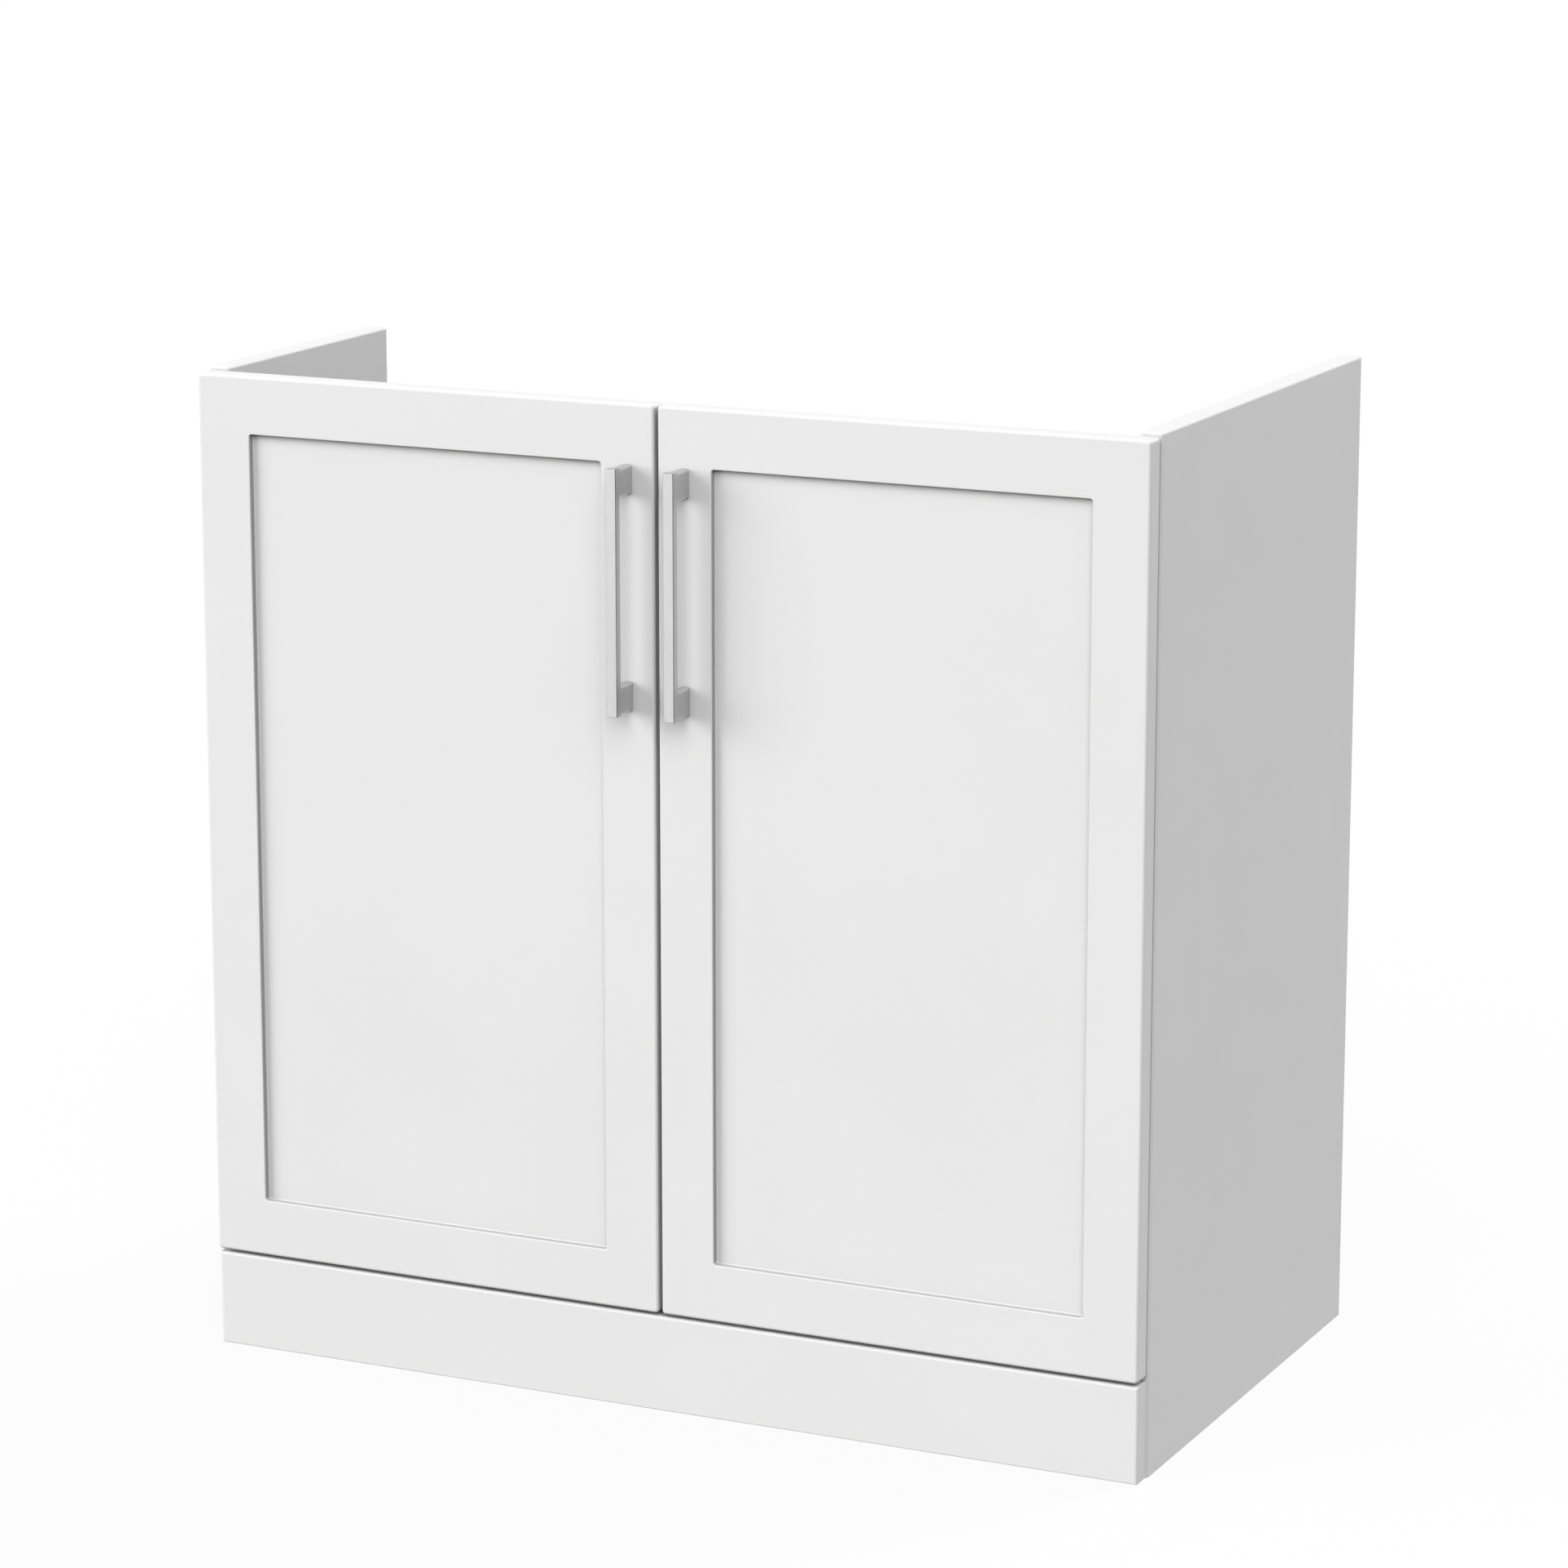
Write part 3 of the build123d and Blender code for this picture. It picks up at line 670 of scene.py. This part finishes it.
def make_floor():
    """A wide pale floor, which keeps the cabinet's shadow."""
    mesh = bpy.data.meshes.new("floor")
    reach = FLOOR_REACH
    mesh.from_pydata([(-reach, -reach, 0), (reach, -reach, 0), (reach, reach, 0), (-reach, reach, 0)],
                     [], [(0, 1, 2, 3)])
    floor = bpy.data.objects.new("floor", mesh)
    bpy.context.scene.collection.objects.link(floor)
    finish = Finish("pale_floor")
    seen = seen_by_eye(finish.tree)
    finish.set(Base_Color=(FLOOR_SEEN, FLOOR_SEEN, FLOOR_SEEN, 1.0), Roughness=FLOOR_ROUGHNESS,
               Specular_IOR_Level=0.0)
    glow = finish.add("ShaderNodeEmission")
    finish.put(glow.inputs["Strength"], finish.spread(seen, FLOOR_BOUNCE, 1.0, start=0.0, end=1.0))
    mixer = finish.add("ShaderNodeMixShader")
    finish.put(mixer.inputs[0], finish.spread(seen, 1.0, FLOOR_GLOW, start=0.0, end=1.0))
    finish.put(mixer.inputs[1], finish.shader.outputs[0])
    finish.put(mixer.inputs[2], glow.outputs[0])
    finish.put(finish.tree.nodes["Material Output"].inputs["Surface"], mixer.outputs[0])
    mesh.materials.append(finish.material)


def make_sky():
    """Even light from all round, seen as plain white."""
    world = bpy.data.worlds.new("studio")
    bpy.context.scene.world = world
    world.use_nodes = True
    tree = world.node_tree
    background = tree.nodes["Background"]
    background.inputs["Color"].default_value = (1, 1, 1, 1)
    level = tree.nodes.new("ShaderNodeMapRange")
    level.inputs["To Min"].default_value = SKY_LEVEL
    level.inputs["To Max"].default_value = 1.0
    tree.links.new(seen_by_eye(tree), level.inputs["Value"])
    tree.links.new(level.outputs["Result"], background.inputs["Strength"])


def looking_back(azimuth, elevation):
    """The direction from the cabinet towards an azimuth and elevation in degrees."""
    turn, rise = math.radians(azimuth), math.radians(elevation)
    return Vector((math.sin(turn) * math.cos(rise), -math.cos(turn) * math.cos(rise), math.sin(rise)))


def make_lamp(name, azimuth, elevation, strength, spread):
    """A far-off soft lamp, which lights every part of the cabinet alike."""
    sun = bpy.data.lights.new(name, "SUN")
    sun.energy = strength
    sun.angle = math.radians(spread)
    lamp = bpy.data.objects.new(name, sun)
    lamp.rotation_mode = "QUATERNION"
    lamp.rotation_quaternion = looking_back(azimuth, elevation).to_track_quat("Z", "Y")
    bpy.context.scene.collection.objects.link(lamp)


def make_camera():
    """The photograph's view."""
    data = bpy.data.cameras.new("camera")
    data.sensor_width = CAMERA_SENSOR
    data.lens = CAMERA_LENS
    camera = bpy.data.objects.new("camera", data)
    camera.location = CAMERA_PLACE
    camera.rotation_mode = "QUATERNION"
    camera.rotation_quaternion = looking_back(CAMERA_AZIMUTH, CAMERA_ELEVATION).to_track_quat("Z", "Y")
    bpy.context.scene.collection.objects.link(camera)
    bpy.context.scene.camera = camera


# ---- Boards and doors ----------------------------------------------------------------------
side_covering = {"x_low": SKIN, "x_high": SKIN, "y_low": ROUNDED, "z_high": ROUNDED}
paint("side_panel_right", board_finish("side_board", "side_panel_right", **side_covering))
paint("side_panel_left", board_finish("side_board_cut_out", "side_panel_right",
                                      more_masks=[cutout_band], **side_covering))
paint("bottom_panel", board_finish("bottom_board", "bottom_panel", z_low=SKIN, z_high=SKIN,
                                   y_low=BAND))
for rail in ("front_rail", "back_rail_upper", "back_rail_lower"):
    paint(rail, board_finish(rail + "_board", rail, y_low=SKIN, y_high=SKIN, z_low=BAND, z_high=BAND))
paint("plinth_board", foil_finish("plinth_foil", "plinth_board", y_low=ROUNDED, y_high=SKIN,
                                  x_high=ROUNDED, z_high=ROUNDED))
door_foil = foil_finish("door_foil", "door_right", y_low=FOIL_DEPTH, y_high=SKIN, x_low=ROUNDED,
                        x_high=ROUNDED, z_low=ROUNDED, z_high=ROUNDED)
for side in SIDES:
    paint("door_" + side, door_foil)

# ---- Handles, hinges, brackets and cams ------------------------------------------------------
brushed = handle_finish(front=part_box("handle_left")[0].y)
nickel = metal_finish("nickel_plate", NICKEL_GREYS, roughness=0.30, size=0.5 * MM, depth=0.4e-6)
zinc_plate = metal_finish("zinc_plate", ZINC_PLATE_GREYS, roughness=0.36, size=2 * MM)
bright = metal_finish("bright_steel", BRIGHT_GREYS, roughness=0.22, size=0.4 * MM,
                      stretch=(1, 1, 0.1))
cast_zinc = metal_finish("cast_zinc", CAST_GREYS, roughness=0.48, size=0.7 * MM, depth=0.03 * MM)
for side in SIDES:
    paint("handle_" + side, brushed)
    for level in ("lower", "upper"):
        for part in ("cup", "arm", "plate"):
            paint(f"hinge_{part}_{side}_{level}", nickel)
            soften(f"hinge_{part}_{side}_{level}", EASED)
        paint(f"hinge_pin_{side}_{level}", bright)
    paint("plinth_bracket_" + side, zinc_plate)
    soften("plinth_bracket_" + side, EASED)
for kind in ("bottom", "rail"):
    paint("cam_locks_" + kind, cast_zinc)
    soften("cam_locks_" + kind, EASED_CAST)

# ---- Screws and bumpers ----------------------------------------------------------------------
screw_zinc = metal_finish("screw_zinc", SCREW_GREYS, roughness=0.30, size=1 * MM)
clear_soft = bumper_finish()
wood_screw = partial(cross_screw, head_height=1.8 * MM, shaft_radius=1.75 * MM, pitch=1.8 * MM,
                     pointed=True)
arm_screw = partial(cross_screw, head_height=1.8 * MM, shaft_radius=2 * MM, pitch=0.7 * MM,
                    pointed=False)
handle_screw = partial(cross_screw, head_height=2.4 * MM, shaft_radius=2 * MM, pitch=0.7 * MM,
                       pointed=False)
for side in SIDES:
    door = "door_" + side
    detail("hinge_cup_screws_" + side, door, forward, wood_screw, screw_zinc, "screw_steel")
    detail("hinge_plate_screws_" + side, "cabinet", outward, wood_screw, screw_zinc, "screw_steel")
    detail("hinge_arm_screws_" + side, "cabinet", outward, arm_screw, screw_zinc, "screw_steel")
    detail("handle_screws_" + side, door, forward, handle_screw, screw_zinc, "screw_steel")
    detail("door_bumpers_" + side, door, forward, bumper, clear_soft, "clear_bumper")
detail("plinth_bracket_screws", "cabinet", outward_or_forward, wood_screw, screw_zinc, "screw_steel")

# ---- Cam bolts and dowels --------------------------------------------------------------------
beech = beech_finish()
for kind in ("bottom", "rail"):
    detail("cam_bolts_" + kind, "cabinet", outward, lambda radius, length: cam_bolt(length), bright,
           "screw_steel")
    detail("wood_dowels_" + kind, "cabinet", outward, fluted_dowel, beech, "beech")

# ---- Scene -----------------------------------------------------------------------------------
make_floor()
make_sky()
for name, settings in LAMPS.items():
    make_lamp(name, *settings)
make_camera()
bpy.context.scene.cycles.diffuse_bounces = DIFFUSE_BOUNCES
bpy.context.scene.view_settings.view_transform = "Standard"
